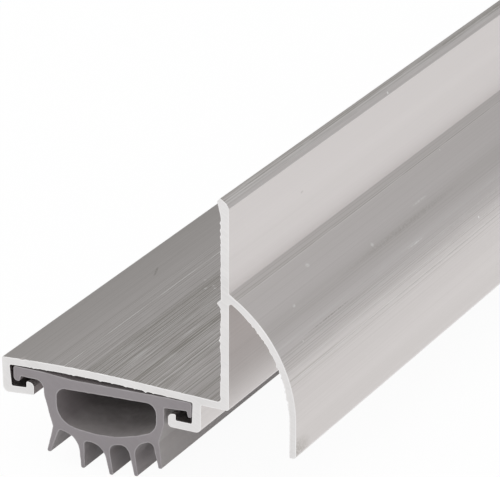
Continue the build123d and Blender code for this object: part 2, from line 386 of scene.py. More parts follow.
def hollow_corners():
    """The open tube inside the bulb."""
    near_wall, far_wall = bulb_near + bulb_near_wall, bulb_far - bulb_far_wall
    roof = insert_near_top - bulb_roof_wall
    steps = hollow_floor_stations + 1
    stations = [near_wall + (far_wall - near_wall) * k / steps for k in range(1, steps)]
    near_floor = floor_height(near_wall) + bulb_floor_wall + hollow_near_floor_rise
    corners = [
        (near_wall, roof, hollow_near_top_radius),
        (near_wall, near_floor, hollow_near_bottom_radius),
    ]
    for y, rise in zip(stations, hollow_floor_rises):
        corners.append((y, floor_height(y) + bulb_floor_wall + rise, hollow_floor_radius))
    return corners + [
        (far_wall, floor_height(far_wall) + bulb_floor_wall, hollow_far_bottom_radius),
        (far_wall, roof - hollow_far_roof_drop, hollow_far_top_radius),
        ((near_wall + far_wall) / 2, roof - hollow_middle_roof_drop, hollow_roof_radius),
    ]


print("the insert's outline has", len(insert_corners()), "corners, and its hollow", len(hollow_corners()))

# %% [markdown]
# ## Score lines left by the die
#
# A die with a tiny nick in it scores the metal along its whole length. The heaviest of these
# lines are real shapes, a tenth of a millimetre across, so they are cut into the outline itself
# and run the full length like the rest of it. The hundreds of finer ones are left to the
# material, because as geometry they would only add faces that no eye can see.

# %% Measure along an outline
def distance_round(places):
    """Distance round a closed outline to each point, and the whole way round."""
    steps = np.linalg.norm(np.roll(places, -1, axis=0) - places, axis=1)
    return np.concatenate(([0], np.cumsum(steps)[:-1])), steps.sum()


def distance_to(outline, spot):
    """Distance round the outline to the place on it that is nearest to a spot."""
    places = outline[0]
    sides = np.roll(places, -1, axis=0) - places
    lengths = np.linalg.norm(sides, axis=1)
    share = np.clip(((np.array(spot) - places) * sides).sum(1) / lengths**2, 0, 1)
    nearest = np.argmin(np.linalg.norm(places + sides * share[:, None] - np.array(spot), axis=1))
    return distance_round(places)[0][nearest] + share[nearest] * lengths[nearest]


print("a 10 mm square with 1 mm corners is", round(distance_round(square)[1], 2), "mm round")

# %% Cut score lines into an outline
score_reach, score_points = 2.6, 11
# Beside each groove lies its lip, a painted highlight with no shape of its own: where it is, how wide, and
# how bright
lip_highlight_place, lip_highlight_width, lip_highlight_share = 1.7, 0.7, 0.8


def scored(outline, scores, point_step):
    """The outline with grooves cut in it, and how far into a groove (+) or on the painted highlight beside
    it (-) it is.

    A score is (y, z, depth, half width, strength), all but the last in millimetres.
    """
    places, outward, bend = outline
    around, whole = distance_round(places)
    spots = [(distance_to(outline, score[:2]), *score[2:]) for score in scores]
    shares = np.linspace(-score_reach, score_reach, score_points)
    extra = [at + width * share for at, _, width, _ in spots for share in shares]
    extra = np.concatenate((around, np.arange(0, whole, point_step), np.array(extra) % whole))
    fine = np.unique(np.round(extra, 2))
    closed = np.append(around, whole)

    def along(values):
        return np.interp(fine, closed, np.append(values, values[0]))

    places = np.stack([along(places[:, 0]), along(places[:, 1])], 1)
    outward = np.stack([along(outward[:, 0]), along(outward[:, 1])], 1)
    outward /= np.linalg.norm(outward, axis=1)[:, None]
    travel = np.roll(places, -1, axis=0) - np.roll(places, 1, axis=0)
    travel /= np.linalg.norm(travel, axis=1)[:, None]
    depth, slope, score = np.zeros((3, len(fine)))
    for at, cut, width, strength in spots:
        off = (fine - at) / width
        groove = np.exp(-(off**2))
        depth += cut * groove
        slope -= 2 * off / width * cut * groove
        score += strength * (groove - lip_highlight_share * np.exp(-(((off - lip_highlight_place) / lip_highlight_width) ** 2)))
    facing = outward + travel * slope[:, None]
    facing /= np.linalg.norm(facing, axis=1)[:, None]
    return places - outward * depth[:, None], facing, along(bend), score


def inside_out(outline):
    """The outline of a hole, which faces and bends the other way."""
    places, outward, bend, score = outline
    return places, -outward, -bend, score


scored_square = scored(square_outline, [(5, 0, 0.1, 0.2, 1.0)], 1.0)
print("with one score in it, the square takes", len(scored_square[0]), "points")

# %% Where the shoe is scored
plate_score_depth, plate_score_half_width = 0.02, 0.08
shoe_point_step, insert_point_step = 0.25, 0.5

# Millimetres in from the plate's far edge, and how dark the line is there (a painted highlight if negative)
plate_lines = {
    10.2: 0.5, 12.9: -1.1, 17.4: 0.3, 18.6: 0.8, 19.4: 0.7, 20.3: 1.0, 21.1: 0.8, 21.9: 0.6, 22.6: 1.0,
    23.5: 0.9, 24.4: 0.7, 26.4: 0.8, 27.6: 0.7, 28.5: 0.4, 29.3: 0.7, 30.2: 0.9, 31.3: 0.8, 32.3: 0.9,
    33.6: 0.4, 36.8: 1.0, 37.6: 0.5, 39.4: 0.5, 41.5: 0.6,
}
plate_scores = [
    (
        plate_depth - at,
        plate_top(plate_depth - at),
        plate_score_depth * abs(strength),
        plate_score_half_width,
        strength,
    )
    for at, strength in plate_lines.items()
]
wide_line = plate_depth - 13.7
plate_scores.append((wide_line, plate_top(wide_line), 0.02, 0.1, 0.4))
drip_scores = [
    (-13.68, 6.45, 0.02, 0.08, 0.4), (-3.09, 19.99, 0.02, 0.09, 0.5), (-12.1, 10.2, 0.01, 0.08, 0.2),
    (-11.2, 12.1, 0.01, 0.08, 0.25), (-13.1, 8.0, 0.01, 0.08, 0.2),
]
lip_scores = [(-0.5, 38.15, 0.02, 0.1, 0.8), (-0.9, 37.9, 0.015, 0.09, 0.5)]
shoe_scores = plate_scores + drip_scores + lip_scores
shoe_outline = scored(rounded_outline(shoe_corners), shoe_scores, shoe_point_step)
insert_outline = scored(rounded_outline(insert_corners()), [], insert_point_step)
hollow_outline = inside_out(scored(rounded_outline(hollow_corners()), [], insert_point_step))
for label, outline in (("shoe", shoe_outline), ("insert", insert_outline), ("hollow", hollow_outline)):
    print(len(outline[0]), "points round the", label)

# %% [markdown]
# ## What the saw leaves at a cut end
#
# A saw doesn't leave a clean outline. It drags a thin lip of metal past some edges, breaks small
# chips out of others, and leaves a fine rounding on the rest. Here that is one number for each
# point of the outline: how far it is pushed out (a burr) or in (a chip) at the cut. It fades
# over the first millimetre of the length. Separate little meshes stuck on the end could show
# burrs too, but then they would float or cut through the metal.

# %% Burrs and chips round a cut
def ragged(around, whole, start, end, height, pitch, seed, bite=0.0):
    """Raggedness between two distances round the outline, with no step where it begins or ends."""
    span = (end - start) % whole
    into = (around - start) % whole
    inside = np.clip(np.minimum(into, span - into) / (2 * pitch), 0, 1) * (into < span)
    waves = np.array([noise.noise(Vector((a / pitch, seed, 0.5))) for a in around])
    spikes = np.array([noise.noise(Vector((a / pitch * 2.3, seed, 7.5))) for a in around])
    rough = 0.5 * np.clip(waves + 0.1, 0, 1) + 1.6 * np.clip(spikes - 0.1, 0, 1)
    chips = np.clip(-spikes - 0.2, 0, 1)
    return inside * (height * rough - bite * chips)


def marks(outline, places):
    """Single nibs (positive) and chips (negative): each is (y, z, height, half width)."""
    around, _ = distance_round(outline[0])
    total = np.zeros(len(around))
    for y, z, height, width in places:
        total += height * np.exp(-(((around - distance_to(outline, (y, z))) / width) ** 2))
    return total


nib = marks(shoe_outline, [(0, 31.4, 0.18, 0.25)])
print("a nib on the flange is", round(float(nib.max()), 2), "mm high")

# %% Where the shoe's saw burrs are
def shoe_burr(outline, seed, strength):
    around, whole = distance_round(outline[0])

    def at(y, z):
        return distance_to(outline, (y, z))

    plate_under = plate_crown_rise - plate_wall
    burr = ragged(around, whole, at(0, 2.0), at(0, rib_height - rib_run_out), 0.22, 1.1, seed)
    burr += ragged(around, whole, at(0, rib_height + 1.2), at(0, flange_height - 3.2), 0.2, 0.9, seed + 1)
    under = (at(near_inner + 3, plate_under), at(far_inner - 3, plate_under))
    burr += ragged(around, whole, *under, 0.13, 0.8, seed + 2)
    burr += ragged(around, whole, at(-13.2, 0.0), at(-3.2, 18.4), 0.35, 1.0, seed + 3)
    burr += ragged(around, whole, at(plate_depth - 1, 0), at(1.5, 0), 0.05, 0.7, seed + 4, bite=0.14)
    nibs = [
        (24.3, -0.7, 0.2, 0.3), (15.2, -0.95, 0.24, 0.28), (40.3, 0.2, -0.14, 0.3), (0.6, 18.9, 0.14, 0.5),
        (0, 34.1, 0.14, 0.22), (0, 32.6, 0.16, 0.28), (0, 31.4, 0.18, 0.25), (0, 25.2, 0.1, 0.5),
        (0, 17.4, 0.16, 0.25), (0, 15.0, 0.14, 0.5), (0, 13.4, 0.12, 0.35), (0, 11.9, 0.26, 0.55),
        (0, 10.6, 0.24, 0.4), (0, 9.8, 0.16, 0.3), (0, 3.0, 0.12, 1.4), (0, 1.5, 0.14, 0.8),
    ]
    return strength * (burr + marks(outline, nibs))


shoe_burrs = (shoe_burr(shoe_outline, 3, 1.0), shoe_burr(shoe_outline, 11, 0.8))
print("the near cut's burrs reach", round(float(shoe_burrs[0].max()), 2), "mm")
print("its deepest chip is", round(float(-shoe_burrs[0].min()), 2), "mm")

# %% Where the insert's cut is ragged
fin_tips = -18.0


def insert_burr(outline, seed):
    """Slight raggedness all round, but none that would push the fins' tips lower."""
    around, whole = distance_round(outline[0])
    burr = ragged(around, whole, 0, whole * 0.999, 0.05, 1.3, seed, bite=0.05)
    return np.where(outline[0][:, 1] < fin_tips, np.minimum(burr, 0), burr)


insert_outlines = [insert_outline, hollow_outline]
insert_burrs = [
    (insert_burr(outline, 21 + k), insert_burr(outline, 31 + k)) for k, outline in enumerate(insert_outlines)
]
print("the insert's cut is ragged by", round(float(insert_burrs[0][0].max()), 3), "mm")

# %% [markdown]
# ## From outline to solid
#
# The outline is set down at stations along the length and neighbouring stations are joined with
# four-sided faces. Near each cut the stations are close together, to round the edge over and to
# carry the burrs. The flat of the cut is filled with triangles that keep to the outline, which
# also leaves the bulb's hollow open. Blender's solidify and bevel modifiers could do part of
# this, but they can't follow a burr that changes at every point.

# %% Where the stations are near a cut and between
edge_radius = 0.05
rim_width, rim_burr = 0.18, 0.9
burr_length = 1.3
settling = (3.0, 8.0, 20.0, 50.0)
middle_stations = 9


def stations(length):
    """One row for each ring: distance from the near end, inset, share of the burr, and tilt.

    The tilt is the angle in degrees by which the surface has turned from the flat of the cut
    (0) to the long face (90).
    """
    near = [(0.0, edge_radius + rim_width * inside, rim_burr, 0.0) for inside in (1.0, 0.5)]
    for degrees in (0, 30, 60, 90):
        turn = math.radians(degrees)
        near.append((edge_radius * (1 - math.cos(turn)), edge_radius * (1 - math.sin(turn)), 1.0, degrees))
    for share in (0.2, 0.45, 1.0):
        near.append((edge_radius + burr_length * share, 0.0, (1 - share) ** 2, 90.0))
    near += [(at, 0.0, 0.0, 90.0) for at in settling]
    count = middle_stations + 1
    middle = [(length * k / count, 0.0, 0.0, 90.0) for k in range(1, count)]
    far = [(length - at, inset, burr, tilt) for at, inset, burr, tilt in reversed(near)]
    return np.array(near + middle + far)


rings_on_cut = 5
shoe_length = (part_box("door_shoe")[1].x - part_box("door_shoe")[0].x) / MM
print("stations along", round(shoe_length, 1), "mm:", len(stations(shoe_length)))


# %% Set one outline down at every station
def ring_grid(outline, burrs, length):
    """Places and facings, each rings x points x 3 in millimetres, with x from the near cut."""
    places, outward, bend, _ = outline
    at, inset, share, tilt = (column[:, None] for column in stations(length).T)
    inset = inset / (1 + inset * np.maximum(bend, 0))
    burr = np.where(at < length / 2, burrs[0], burrs[1]) * share
    section = places + outward * (burr - inset)[..., None]
    grid = np.concatenate([np.broadcast_to(at[..., None], burr.shape + (1,)), section], -1)

    travel = np.roll(places, -1, axis=0) - np.roll(places, 1, axis=0)
    step = np.linalg.norm(travel, axis=1)
    travel /= step[:, None]
    climb = (np.roll(burr, -1, axis=1) - np.roll(burr, 1, axis=1)) / step
    fade = np.zeros_like(burr)
    sides = slice(rings_on_cut, len(at) - rings_on_cut)
    fade[sides] = np.gradient(burr[sides], at[sides, 0], axis=0)
    across = outward - travel * climb[..., None]
    across = np.concatenate([-fade[..., None], across], -1)
    across /= np.linalg.norm(across, axis=-1)[..., None]
    out_of_end = np.where(at < length / 2, -1.0, 1.0)[..., None] * np.array((1.0, 0.0, 0.0))
    turn = np.radians(tilt)[..., None]
    return grid, np.cos(turn) * out_of_end + np.sin(turn) * across


def ring_quads(rings, points, reverse):
    """Four-sided faces between neighbouring rings, by the numbers of their points."""
    ring, point = np.meshgrid(np.arange(rings - 1), np.arange(points), indexing="ij")
    low = ring * points + point
    beside = ring * points + (point + 1) % points
    quads = np.stack([low, beside, beside + points, low + points], -1).reshape(-1, 4)
    return quads[:, ::-1] if reverse else quads


print("faces between 3 rings of 4 points", len(ring_quads(3, 4, False)))


# %% Fill the flat of a cut
def within(outline, spots):
    """Whether each spot lies inside a closed outline, by counting the sides that it sees across."""
    start, end = outline, np.roll(outline, -1, axis=0)
    y, z = spots[:, :1], spots[:, 1:]
    spans = (start[:, 1] > z) != (end[:, 1] > z)
    rise = np.where(end[:, 1] == start[:, 1], 1, end[:, 1] - start[:, 1])
    cross = start[:, 0] + (z - start[:, 1]) * (end[:, 0] - start[:, 0]) / rise
    return (np.where(spans, y < cross, False).sum(1) % 2).astype(bool)


def fill(outlines):
    """Triangles, counterclockwise in y and z, over the first outline and round any hollow."""
    spots = np.concatenate(outlines)
    edges, first = [], 0
    for outline in outlines:
        count = len(outline)
        edges += [(first + i, first + (i + 1) % count) for i in range(count)]
        first += count
    made = delaunay_2d_cdt([Vector(spot) for spot in spots], edges, [], 0, 1e-7)
    if len(made[0]) != len(spots):
        raise ValueError("the outline of a cut crosses itself")
    faces = np.array(made[2])
    middles = spots[faces].mean(1)
    keep = within(outlines[0], middles)
    for hollow in outlines[1:]:
        keep &= ~within(hollow, middles)
    faces = faces[keep]
    one, two, three = (spots[faces[:, k]] for k in range(3))
    area = np.cross(two - one, three - one)
    faces[area < 0] = faces[area < 0][:, ::-1]
    return faces


print("a spot inside and one outside the square", within(square, np.array([(5.0, 5.0), (11.0, 5.0)])))

# %% [markdown]
# ## What each point knows about itself
#
# The finish needs to know things that a texture can't guess: how far round the section a point
# is, how heavily the die scored that face, how sharp the edge is, and where the rim of the cut
# is. Each is stored on the mesh as a named attribute. The mesh also gets its own map for baked
# pictures, with the long faces at full width and a strip that gives the cut ends room for their
# fine detail. An automatic unwrap would give both the same scale, and lose the fine lines.

# %% Write the attributes and the bake map
bake_map_name = "OFBake"
cut_strip = 0.3
map_gap = 0.01


def write_attribute(mesh, name, domain, values):
    attribute = mesh.attributes.new(name, "FLOAT", domain)
    attribute.data.foreach_set("value", np.ascontiguousarray(values, np.float32).ravel())


def write_bake_map(mesh, corners, around, round_trip, is_cut, length):
    """Long faces fill the map's lower part, and each cut end has half of the strip over them."""
    share_along = corners[:, 0] / length
    long_u = map_gap + (1 - 2 * map_gap) * share_along
    long_v = map_gap + (1 - cut_strip - 2 * map_gap) * around / round_trip
    low, high = corners[:, 1:].min(0), corners[:, 1:].max(0)
    scale = min((cut_strip - 2 * map_gap) / (high[1] - low[1]), (0.5 - 2 * map_gap) / (high[0] - low[0]))
    cut_u = map_gap + 0.5 * (share_along > 0.5) + scale * (corners[:, 1] - low[0])
    cut_v = 1 - cut_strip + map_gap + scale * (corners[:, 2] - low[1])
    layer = mesh.uv_layers.new(name=bake_map_name)
    spread = np.stack([np.where(is_cut, cut_u, long_u), np.where(is_cut, cut_v, long_v)], 1)
    layer.uv.foreach_set("vector", spread.astype(np.float32).ravel())


print("share of the map for long faces", 1 - cut_strip, "and for cut ends", cut_strip)


# %% What the points of one outline know
wear_radius, flattest_edge = 0.9, 0.02


def sharpness(outline):
    """From 0 on a flat to 1 on an edge that bulges tighter than the wear radius."""
    places, outward, bend, _ = outline
    before, after = np.roll(outward, 1, axis=0), np.roll(outward, -1, axis=0)
    turn = np.abs(before[:, 0] * after[:, 1] - before[:, 1] * after[:, 0])
    span = np.linalg.norm(np.roll(places, -1, axis=0) - np.roll(places, 1, axis=0), axis=1)
    return np.where(bend > flattest_edge, np.clip(wear_radius * turn / span, 0, 1), 0)


def rim_of_cut(rings):
    """1 for the rings on the rim of either cut, and 0 for the others."""
    rim = np.zeros(rings)
    rim[1 : 1 + rings_on_cut] = 1
    rim[-1 - rings_on_cut : -1] = 1
    return rim


sharpest = sharpness(shoe_outline)
print("share of the shoe's outline that is an edge", round(float((sharpest > 0.5).mean()), 2))


# %% Run one outline along the length
def tube(outline, burrs, lined, painted_light_and_bands, length):
    """The grid of one outline, its faces, and the values that its points carry."""
    places, outward, _, score = outline
    grid, facing = ring_grid(outline, burrs, length)
    rings, points = grid.shape[:2]
    step = places[1] - places[0]
    reverse = outward[0] @ np.array((step[1], -step[0])) < 0
    distance, whole = distance_round(places)
    distance = np.append(distance, whole)
    beside = [distance[:-1], distance[1:], distance[1:], distance[:-1]]
    around = np.tile(np.stack(beside[::-1] if reverse else beside, -1), (rings - 1, 1, 1))
    ring = np.repeat(np.arange(rings - 1), points)
    return {
        "grid": grid,
        "facing": facing,
        "quads": ring_quads(rings, points, reverse),
        "around": around.ravel(),
        "whole": whole,
        "on_cut": (ring < rings_on_cut) | (ring >= rings - 1 - rings_on_cut),
        "values": {
            "edge": np.tile(sharpness(outline), rings),
            "lined": np.tile(lined, rings),
            "painted_light_and_bands": np.tile(painted_light_and_bands, rings),
            "score": np.tile(score, rings),
            "rim": np.repeat(rim_of_cut(rings), points),
        },
    }


level = np.zeros(len(scored_square[0]))
square_bar = tube(scored_square, (level, level), level, level, shoe_length)
print("a bar of that square, as long as the shoe, has", len(square_bar["quads"]), "faces")


# %% Close the ends and make the mesh
def extrusion(name, outlines, burrs, lined, painted, node):
    """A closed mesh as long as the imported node. Each list has one entry for each outline."""
    low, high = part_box(node)
    length = (high.x - low.x) / MM
    tubes = [tube(*one, length) for one in zip(outlines, burrs, lined, painted)]
    quads, around, near, far = [], [], [], []
    first, gone_round = 0, 0.0
    for one in tubes:
        rings, points = one["grid"].shape[:2]
        quads.append(one["quads"] + first)
        around.append(one["around"] + gone_round)
        near.append(first + np.arange(points))
        far.append(first + (rings - 1) * points + np.arange(points))
        first += rings * points
        gone_round += one["whole"]
    near = np.concatenate(near)[fill([one["grid"][0, :, 1:] for one in tubes])]
    far = np.concatenate(far)[fill([one["grid"][-1, :, 1:] for one in tubes])]
    triangles = np.concatenate([near[:, ::-1], far])
    quads = np.concatenate(quads)
    places = np.concatenate([one["grid"].reshape(-1, 3) for one in tubes])
    facings = np.concatenate([one["facing"].reshape(-1, 3) for one in tubes])
    quad_cut = np.concatenate([one["on_cut"] for one in tubes])

    mesh = bpy.data.meshes.new(name)
    shift = np.array((low.x / MM, 0, -origin_height))
    mesh.from_pydata(((places + shift) * MM).tolist(), [], quads.tolist() + triangles.tolist())
    corner_around = np.concatenate(around + [np.zeros(triangles.size)])
    corner_cut = np.concatenate([np.repeat(quad_cut, 4), np.ones(triangles.size, bool)])
    corner_places = places[np.concatenate([quads.ravel(), triangles.ravel()])]
    write_attribute(mesh, "around", "CORNER", corner_around)
    for label in tubes[0]["values"]:
        write_attribute(mesh, label, "POINT", np.concatenate([one["values"][label] for one in tubes]))
    write_bake_map(mesh, corner_places, corner_around, gone_round, corner_cut, length)
    face_cut = np.concatenate([quad_cut, np.ones(len(triangles), bool)])
    mesh.polygons.foreach_set("material_index", face_cut.astype(np.int32))
    mesh.shade_smooth()
    mesh.normals_split_custom_set_from_vertices(facings.tolist())
    piece = bpy.data.objects.new(name, mesh)
    bpy.context.scene.collection.objects.link(piece)
    print(name, len(mesh.vertices), "points and", len(mesh.polygons), "faces")
    return piece


# %% [markdown]
# ## How heavily the die marked each face, and where shade is painted
#
# The die wears unevenly. The plate's top is the most scored, most of all in the half next to the flange. The
# drip cap has its fine lines half way down and two broad darker bands above them, and the flange's outer
# face, which shows when the door is shut, is the smoothest. A second set of shares darkens the colour. On
# the drip cap it holds the two broad bands, which are partly the die's and partly painted shade, and painted
# shade lower down its face. Over the plate's top, on the lip's bevel and a little on every other face it is
# painted shade. These numbers are shares, from 0 for a clean face to 1, at distances in millimetres along
# each face.

# %% Lines, bands and painted shade round the shoe, as {millimetres along the face: share}
drip_root, lip_top = (-flange_wall, drip_root_height), (lip_top_reach, flange_height)
plate_edge = (plate_depth, -plate_far_edge_drop)
elsewhere_lined, elsewhere_painted_shade = 0.06, 0.18

drip_lined = {0: 0.1, 1.7: 0.25, 3: 0.06, 9: 0.1, 13.5: 0.15, 15: 0.3, 20: 0.28, 22: 0.06, 33: 0.02}
lip_lined = {0: 0.7, 1.2: 0.5, 2.2: 0.12, 2.8: 0.01, 18.4: 0.03}
plate_lined = {0: 0.12, 9: 0.12, 11: 0.4, 17: 0.5, 19: 1.0, 33: 1.0, 38: 0.8, 44.6: 0.9}
# The dark shares below are painted shade, and on the drip cap they also hold its two broad bands
drip_bands_and_painted_shade = {
    0: 0.34, 1.5: 0.3, 1.9: 0.12, 7: 0.05, 9: 0.38, 10.8: 0.42, 12.5: 0.12, 21: 0.16, 26: 0.36, 33: 0.36,
}
lip_painted_shade = {0: 0.3, 0.3: 0.7, 0.8: 0.25, 1.4: 0.08, 2.6: 0.1, 18.4: 0.0}
plate_painted_shade = {0: 0.9, 5: 0.8, 9: 0.66, 12: 0.5, 16: 0.55, 18: 0.85, 21: 0.8, 24: 0.58, 30: 0.52, 44.6: 0.62}


def across_faces(outline, drip, lip, plate, elsewhere):
    """Shares over the three marked faces, in the way that the outline runs, and one elsewhere."""
    around, whole = distance_round(outline[0])
    total = np.full(len(around), elsewhere)
    for start, shares in ((drip_root, drip), (lip_top, lip), (plate_edge, plate)):
        stops = list(shares)
        into = (around - distance_to(outline, start)) % whole
        total = np.where(into < stops[-1], np.interp(into, stops, list(shares.values())), total)
    return total


shoe_lined = across_faces(shoe_outline, drip_lined, lip_lined, plate_lined, elsewhere_lined)
shoe_bands_and_painted_shade = across_faces(shoe_outline, drip_bands_and_painted_shade, lip_painted_shade, plate_painted_shade, elsewhere_painted_shade)
print("mean share lined", round(float(shoe_lined.mean()), 2))
print("mean share dragged dark", round(float(shoe_bands_and_painted_shade.mean()), 2))

# %% [markdown]
# ## Where the vinyl is painted paler
#
# The insert is painted paler in two places, as painted light. One is the outer face on the weather side,
# lightened against the shade under the drip cap. The other is the part of its hollow that faces up and
# towards the room, painted like the patch of light that falls in at the cut end. A gradient texture could
# fade them in, but each follows the way that the surface faces, so it is worked out for every point of the
# outline and carried by the same attribute as the shoe's dark bands and painted shade.

# %% Painted light round the insert
weather_side, hollow_floor_side = (-1, 0), (0.8, 0.6)


def painted_light_share(outline, facing, as_far_as, share):
    """A share of painted light for what faces about one way (y, z) up to a place in from the door, and 0
    elsewhere.
    """
    places, outward = outline[:2]
    return share * np.clip(outward @ np.array(facing), 0, 1) ** 0.5 * (places[:, 0] < as_far_as)


insert_painted_light = [
    painted_light_share(insert_outline, weather_side, bulb_near + 1.2, 0.78),
    painted_light_share(hollow_outline, hollow_floor_side, bulb_far, 0.8),
]
insert_lined = [np.full(len(outline[0]), 0.5) for outline in insert_outlines]
print("most_painted_light share outside and inside", [round(float(chalk.max()), 2) for chalk in insert_painted_light])

# %% Make both extrusions and hand them to the frame
shoe = extrusion("aluminium_shoe", [shoe_outline], [shoe_burrs], [shoe_lined], [shoe_bands_and_painted_shade], "door_shoe")
insert = extrusion("vinyl_insert", insert_outlines, insert_burrs, insert_lined, insert_painted_light, "seal_insert")
for piece, node, slot in ((shoe, "door_shoe", "mill_aluminium"), (insert, "seal_insert", "grey_vinyl")):
    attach(piece, "root")
    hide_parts(node)
    print(piece.name, "stands for", node, "in", slot)

# %% [markdown]
# ## Finishes that run along the length
#
# Both extrusions are covered with fine lines that the die drew along them, and both have sawn
# ends, specks of dust and lighter edges. Each of these effects is made once, as a node group
# with its own inputs, and each material sets them to its own values. Distances go in as
# millimetres, so that a spacing of 0.4 is 0.4 mm on the real piece. The helpers below only save
# typing: each adds one node and links it.

# %% Helpers for node trees
def join(tree, source, socket):
    """Link a socket, or set a plain value."""
    if isinstance(source, bpy.types.NodeSocket):
        tree.links.new(source, socket)
    else:
        socket.default_value = source


def calculate(tree, operation, *values, clamp=False):
    node = tree.nodes.new("ShaderNodeMath")
    node.operation = operation
    node.use_clamp = clamp
    for value, socket in zip(values, node.inputs):
        join(tree, value, socket)
    return node.outputs[0]


def remap(tree, value, low, high, to_low, to_high, smooth=False):
    node = tree.nodes.new("ShaderNodeMapRange")
    node.interpolation_type = "SMOOTHSTEP" if smooth else "LINEAR"
    for source, socket in zip((value, low, high, to_low, to_high), node.inputs):
        join(tree, source, socket)
    return node.outputs[0]


def grain(tree, x, y, z, detail=2.0, roughness=0.5):
    """Noise at a place given by three numbers, from 0 to 1 with a middle of 0.5."""
    place = tree.nodes.new("ShaderNodeCombineXYZ")
    for value, socket in zip((x, y, z), place.inputs):
        join(tree, value, socket)
    node = tree.nodes.new("ShaderNodeTexNoise")
    node.inputs["Scale"].default_value = 1.0
    node.inputs["Detail"].default_value = detail
    node.inputs["Roughness"].default_value = roughness
    tree.links.new(place.outputs[0], node.inputs["Vector"])
    return node.outputs[0]


def new_group(name, inputs, outputs):
    """An empty shader node group with named number sockets."""
    group = bpy.data.node_groups.new(name, "ShaderNodeTree")
    for label, value in inputs.items():
        socket = group.interface.new_socket(label, in_out="INPUT", socket_type="NodeSocketFloat")
        socket.default_value = value
    for label in outputs:
        group.interface.new_socket(label, in_out="OUTPUT", socket_type="NodeSocketFloat")
    print("group", name, "takes", list(inputs), "and gives", outputs)
    return group, group.nodes.new("NodeGroupInput").outputs, group.nodes.new("NodeGroupOutput").inputs


print("node helpers", [helper.__name__ for helper in (join, calculate, remap, grain, new_group)])

# %% [markdown]
# ## Die lines
#
# As the metal leaves a worn die, every rough spot in the die draws a line. Most are faint and
# close together, some are dark grooves, some glint for a few millimetres, and broad bands drift
# slowly from side to side. All of it is noise that is squeezed across and stretched along, so
# one loop makes the five patterns, each with its own squeeze. A wave texture would draw lines
# too, but evenly spaced ones, which a die never makes.

# %% Die lines: what a worn die draws along an extrusion
# Each is (squeeze across, squeeze along, seed, detail, roughness, the range that is picked out)
die_patterns = {
    "Fine": (1.1, 0.8, 0.0, 3.0, 0.75, None),
    "Grooves": (1.5, 0.6, 3.0, 1.0, 0.5, (0.56, 0.63, 0.0, 1.0)),
    "Glints": (2.0, 8.0, 5.0, 1.0, 0.5, (0.58, 0.68, 0.0, 1.0)),
    "Uneven": (0.5, 10.0, 11.0, 2.0, 0.5, (0.38, 0.52, 0.4, 1.0)),
    "Bands": (0.12, 0.4, 8.0, 2.0, 0.5, None),
}
die_lines, given, out = new_group(
    "Die lines",
    {"Around": 0.0, "Along": 0.0, "Spacing": 0.4, "Run": 150.0, "Seed": 0.0},
    list(die_patterns),
)
across = calculate(die_lines, "DIVIDE", given["Around"], given["Spacing"])
along = calculate(die_lines, "DIVIDE", given["Along"], given["Run"])
for label, (squeeze_across, squeeze_along, seed, detail, roughness, picked) in die_patterns.items():
    pattern = grain(
        die_lines,
        calculate(die_lines, "MULTIPLY", across, squeeze_across),
        calculate(die_lines, "MULTIPLY", along, squeeze_along),
        calculate(die_lines, "ADD", given["Seed"], seed),
        detail,
        roughness,
    )
    if picked:
        pattern = remap(die_lines, pattern, *picked, smooth=True)
    join(die_lines, pattern, out[label])

# %% [markdown]
# ## Specks
#
# Dust and tiny dents are round spots, far apart and each of its own size. Voronoi cells give one
# spot to each cell and a random colour to size it by. Scattered meshes would show in the outline
# too, but real specks are far too flat for that.

# %% Specks: dust and tiny dents, each a different size
specks, given, out = new_group(
    "Specks", {"Around": 0.0, "Along": 0.0, "Pitch": 14.0, "Size": 0.3, "Seed": 0.0}, ["Mask"]
)
place = specks.nodes.new("ShaderNodeCombineXYZ")
join(specks, calculate(specks, "DIVIDE", given["Around"], given["Pitch"]), place.inputs[0])
join(specks, calculate(specks, "DIVIDE", given["Along"], given["Pitch"]), place.inputs[1])
join(specks, given["Seed"], place.inputs[2])
cells = specks.nodes.new("ShaderNodeTexVoronoi")
cells.inputs["Scale"].default_value = 1.0
join(specks, place.outputs[0], cells.inputs["Vector"])
random_size = specks.nodes.new("ShaderNodeSeparateXYZ")
join(specks, cells.outputs["Color"], random_size.inputs[0])
reach = calculate(specks, "DIVIDE", given["Size"], given["Pitch"])
reach = calculate(specks, "MULTIPLY", reach, random_size.outputs[0])
from_middle = calculate(specks, "DIVIDE", cells.outputs["Distance"], reach)
near_middle = remap(specks, from_middle, 0.5, 1.0, 1.0, 0.0)
join(specks, calculate(specks, "MAXIMUM", near_middle, 0.0, clamp=True), out["Mask"])

# %% [markdown]
# ## Scuffs
#
# A few marks are not the die's: a rub where two pieces lay together, a scratch, a knock. Each is
# at a place of its own, so noise can't give them. The group draws one soft ellipse, broken up
# like a real rub, and a material places it once for each mark in a list.

# %% A scuff: one mark at a place of its own
scuff_breaks_along, scuff_breaks_across = 1.5, 2.5

scuff, given, out = new_group(
    "Scuff",
    {
        "Around": 0.0,
        "Along": 0.0,
        "At around": 0.0,
        "At along": 0.0,
        "Half width": 0.2,
        "Half length": 5.0,
        "Slant": 0.0,
    },
    ["Mask"],
)
ahead = calculate(scuff, "SUBTRACT", given["Along"], given["At along"])
aside = calculate(scuff, "SUBTRACT", given["Around"], given["At around"])
aside = calculate(scuff, "SUBTRACT", aside, calculate(scuff, "MULTIPLY", ahead, given["Slant"]))
broken = grain(
    scuff,
    calculate(scuff, "MULTIPLY", ahead, scuff_breaks_along),
    calculate(scuff, "MULTIPLY", aside, scuff_breaks_across),
    given["At along"],
)
ahead = calculate(scuff, "POWER", calculate(scuff, "DIVIDE", ahead, given["Half length"]), 2.0)
aside = calculate(scuff, "POWER", calculate(scuff, "DIVIDE", aside, given["Half width"]), 2.0)
inside = calculate(scuff, "SUBTRACT", 1.0, calculate(scuff, "ADD", ahead, aside), clamp=True)
